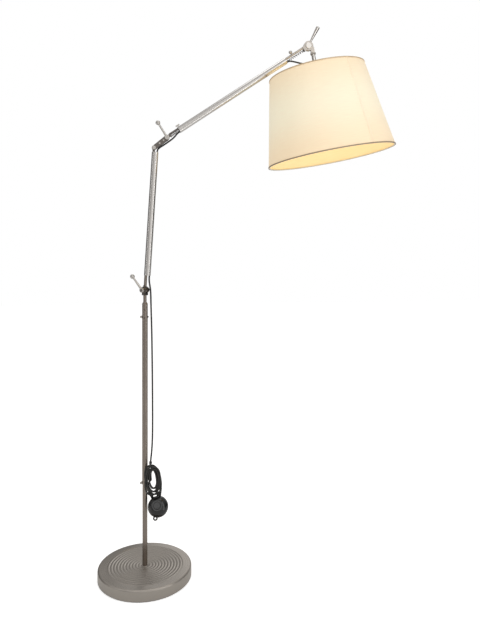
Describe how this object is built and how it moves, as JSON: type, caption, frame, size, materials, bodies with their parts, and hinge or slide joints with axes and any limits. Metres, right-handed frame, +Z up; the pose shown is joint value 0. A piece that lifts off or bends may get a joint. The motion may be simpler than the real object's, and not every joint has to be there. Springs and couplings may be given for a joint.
{
  "type": "adjustable arm floor lamp",
  "caption": "Floor lamp with a round weighted base, a telescoping pole, two arms on clamp joints with an elbow link, a tilting tapered fabric shade and a foot switch on its lead.",
  "frame": {"origin": "centre of the base's underside", "axes": "+Z up the pole; +X the side that the arms reach towards; the arms and the shade's axis lie in the XZ plane"},
  "size_m": [0.9156, 0.4, 1.69],
  "materials": {
    "cast_iron": "matte",
    "pad_felt": "matte",
    "brushed_nickel": "brushed",
    "nickel_tube": "satin",
    "bright_nickel": "polished",
    "dark_screw": "satin",
    "zinc_steel": "zinc plated",
    "spring_steel": "oiled",
    "black_pvc": "smooth",
    "black_gloss": "gloss",
    "black_moulding": "satin",
    "holder_plastic": "gloss",
    "shade_linen": "woven",
    "rim_wire": "satin",
    "bulb_cap_metal": "polished",
    "bulb_opal": "frosted"
  },
  "bodies": {
    "stand": {"base_pad": "pad_felt", "base_weight": "cast_iron", "base_cover": "brushed_nickel", "base_fasteners": "zinc_steel", "lower_pole_tube": "nickel_tube"},
    "upper_pole": {"upper_pole_tube": "nickel_tube", "pole_ring": "brushed_nickel", "pole_collar": "brushed_nickel", "collar_screws": "dark_screw", "switch_cover": "black_gloss", "switch_base": "black_moulding", "switch_glands": "black_moulding", "switch_spring": "spring_steel", "lead_hank": "black_pvc", "hank_tie": "black_moulding", "lead_beside_pole": "black_pvc", "lead_into_switch": "black_pvc", "lead_out_of_switch": "black_pvc", "lead_to_plug": "black_pvc", "plug_body": "black_moulding", "plug_pins": "bright_nickel"},
    "ring_screw": {"ring_thumb_screw": "bright_nickel"},
    "collar_screw": {"collar_thumb_screw": "bright_nickel"},
    "stem": {"stem_rod": "brushed_nickel", "stem_clevis": "brushed_nickel", "lower_clamp_nut": "dark_screw", "lead_at_lower_joint": "black_pvc"},
    "lower_lever": {"lower_clamp_lever": "bright_nickel"},
    "lower_arm": {"lower_arm_foot_rod": "bright_nickel", "lower_arm_tube": "nickel_tube", "lower_arm_end_plugs": "black_moulding", "lower_arm_lead": "black_pvc", "lower_arm_top_rod": "bright_nickel"},
    "elbow_link": {"elbow_plates": "brushed_nickel", "elbow_fasteners": "bright_nickel", "lead_at_elbow_low": "black_pvc", "lead_at_elbow_high": "black_pvc"},
    "elbow_lever": {"elbow_clamp_lever": "bright_nickel"},
    "upper_arm": {"upper_arm_foot_rod": "bright_nickel", "upper_arm_tube": "nickel_tube", "upper_arm_end_plugs": "black_moulding", "arm_springs": "spring_steel", "upper_arm_lead": "black_pvc", "head_joint_rod": "brushed_nickel"},
    "arm_wing": {"wing_screw": "bright_nickel"},
    "arm_knob": {"arm_knob_screw": "bright_nickel"},
    "head_lever": {"head_clamp_lever": "bright_nickel"},
    "head": {"head_knuckle": "brushed_nickel", "stem_nut": "brushed_nickel", "lampholder_stem": "bright_nickel", "lampholder_cap": "holder_plastic", "lampholder_body": "holder_plastic", "shade_clamp_ring": "holder_plastic", "shade_carrier": "rim_wire", "shade_bottom_ring": "rim_wire", "shade_fabric": "shade_linen", "bulb_cap": "bulb_cap_metal", "bulb_glass": "bulb_opal", "lead_at_head": "black_pvc"},
    "button": {"switch_button": "black_gloss"}
  },
  "joints": [
    {"name": "pole_height", "type": "slide", "parent": "stand", "child": "upper_pole", "axis": [0, 0, 1], "range_m": [-0.1, 0.15]},
    {"name": "stem_swivel", "type": "hinge", "parent": "upper_pole", "child": "stem", "pos_m": [0, 0, 0.828], "axis": [0, 0, 1], "range_deg": [-170, 170], "deforming": ["lead_beside_pole"]},
    {"name": "lower_arm_tilt", "type": "hinge", "parent": "stem", "child": "lower_arm", "pos_m": [0, 0, 0.865], "axis": [0.7071, 0.7071, 0], "range_deg": [-45, 75], "deforming": ["lead_at_lower_joint"]},
    {"name": "elbow_low_tilt", "type": "hinge", "parent": "lower_arm", "child": "elbow_link", "pos_m": [0.02706, 0, 1.29515], "axis": [0, -1, 0], "range_deg": [-30, 70], "deforming": ["lead_at_elbow_low"]},
    {"name": "elbow_high_tilt", "type": "hinge", "parent": "elbow_link", "child": "upper_arm", "pos_m": [0.06614, 0, 1.32634], "axis": [0, -1, 0], "range_deg": [-50, 50], "deforming": ["lead_at_elbow_high"]},
    {"name": "head_tilt", "type": "hinge", "parent": "upper_arm", "child": "head", "pos_m": [0.50444, 0, 1.62254], "axis": [0, -1, 0], "range_deg": [-2, 90], "deforming": ["lead_at_head"]},
    {"name": "lower_lever_turn", "type": "hinge", "parent": "stem", "child": "lower_lever", "pos_m": [0, 0, 0.865], "axis": [-0.7071, -0.7071, 0], "range_deg": [-90, 90]},
    {"name": "elbow_lever_turn", "type": "hinge", "parent": "elbow_link", "child": "elbow_lever", "pos_m": [0.06614, 0, 1.32634], "axis": [0, -1, 0], "range_deg": [-90, 90]},
    {"name": "head_lever_turn", "type": "hinge", "parent": "upper_arm", "child": "head_lever", "pos_m": [0.50444, 0, 1.62254], "axis": [0, -1, 0], "range_deg": [-60, 60]},
    {"name": "ring_screw_turn", "type": "hinge", "parent": "upper_pole", "child": "ring_screw", "pos_m": [0, 0, 0.28175], "axis": [1, 0, 0], "range_deg": [-180, 180]},
    {"name": "collar_screw_turn", "type": "hinge", "parent": "upper_pole", "child": "collar_screw", "pos_m": [0, 0, 0.7835], "axis": [1, 0, 0], "range_deg": [-180, 180]},
    {"name": "wing_screw_turn", "type": "hinge", "parent": "upper_arm", "child": "arm_wing", "pos_m": [0.10591, 0, 1.35322], "axis": [-0.5599, 0, 0.8285], "range_deg": [-180, 180]},
    {"name": "knob_screw_turn", "type": "hinge", "parent": "upper_arm", "child": "arm_knob", "pos_m": [0.45249, -0.0035, 1.59226], "axis": [-0.5599, 0, 0.8285], "range_deg": [-180, 180]},
    {"name": "switch_press", "type": "slide", "parent": "upper_pole", "child": "button", "axis": [0.1198, 0.8583, -0.499], "range_m": [0, 0.003], "stiffness_N_per_m": 500, "springref_m": -0.0005, "deforming": ["switch_spring"]}
  ]
}
